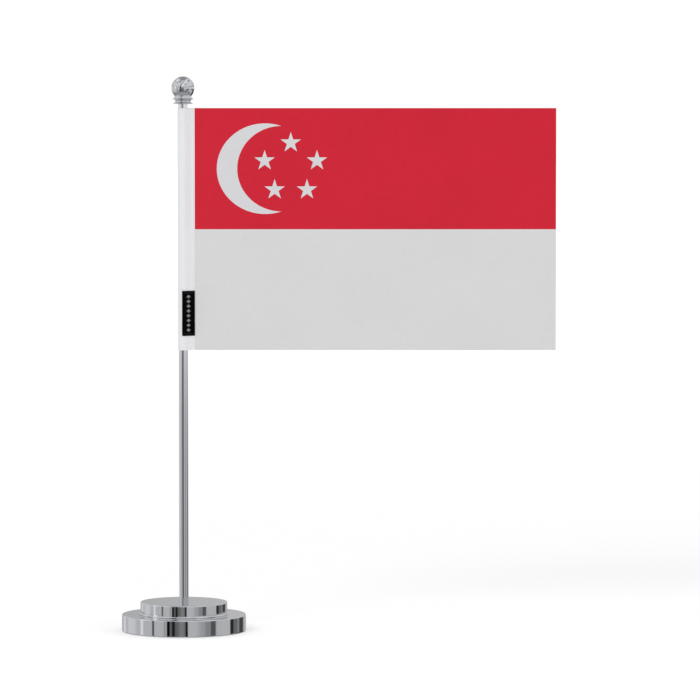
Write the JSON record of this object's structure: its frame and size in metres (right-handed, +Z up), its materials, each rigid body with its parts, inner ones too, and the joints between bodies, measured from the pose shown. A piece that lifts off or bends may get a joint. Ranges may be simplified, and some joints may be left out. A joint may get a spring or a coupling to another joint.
{
  "type": "desk flag stand",
  "caption": "Chrome desk flag stand: two-step round base, slim pole, screw-on ball finial and a small flat flag on a pole sleeve.",
  "frame": {"origin": "on the pole's axis, in the plane that the pad rests on", "axes": "+Z up the pole, +X from the pole towards the flag's fly, -Y towards the side that carries the label"},
  "size_m": [0.253, 0.0724, 0.3234],
  "materials": {
    "chrome_base": "mirror chrome plate",
    "chrome_pole": "mirror chrome plate on drawn tube",
    "chrome_finial": "mirror chrome plate on turned brass",
    "zinc_steel": "zinc plated",
    "brass": "turned",
    "foam": "closed-cell foam sheet, matt",
    "clear_ring": "clear, smooth",
    "printed_cloth": "printed woven polyester, heat-cut edges",
    "white_cloth": "plain woven polyester",
    "label_weave": "woven satin label, plain",
    "white_thread": "twisted polyester thread",
    "black_thread": "twisted polyester thread"
  },
  "bodies": {
    "stand": {"lower_disc": "chrome_base", "upper_disc": "chrome_base", "base_pad": "foam", "base_screw": "zinc_steel", "spring_washer": "zinc_steel", "flat_washer": "zinc_steel", "pole_tube": "chrome_pole", "pole_foot_plug": "brass", "pole_top_plug": "brass"},
    "ring": {"stop_ring": "clear_ring"},
    "flag": {"flag_panel": "printed_cloth", "pole_sleeve": "white_cloth", "needle_thread": "white_thread", "bobbin_thread": "white_thread", "side_label": "label_weave", "label_top_thread": "black_thread", "label_bottom_thread": "black_thread"},
    "collar": {"finial_collar": "chrome_finial"},
    "ball": {"finial_ball": "chrome_finial", "finial_stud": "zinc_steel"}
  },
  "joints": [
    {"name": "flag_slide", "type": "slide", "parent": "stand", "child": "ring", "axis": [0, 0, 1], "range_m": [-0.1466, 0.0022]},
    {"name": "flag_swing", "type": "hinge", "parent": "ring", "child": "flag", "pos_m": [0, 0, 0.16665], "axis": [0, 0, 1], "continuous": true},
    {"name": "finial_lift", "type": "slide", "parent": "stand", "child": "collar", "axis": [0, 0, 1], "range_m": [0, 0.00605]},
    {"name": "finial_spin", "type": "hinge", "parent": "collar", "child": "ball", "pos_m": [0, 0, 0.30745], "axis": [0, 0, 1], "range_deg": [0, 4320]}
  ],
  "couplings": [
    {"joint": "finial_lift", "follows": "finial_spin", "m_per_rad": 0.000079577}
  ]
}
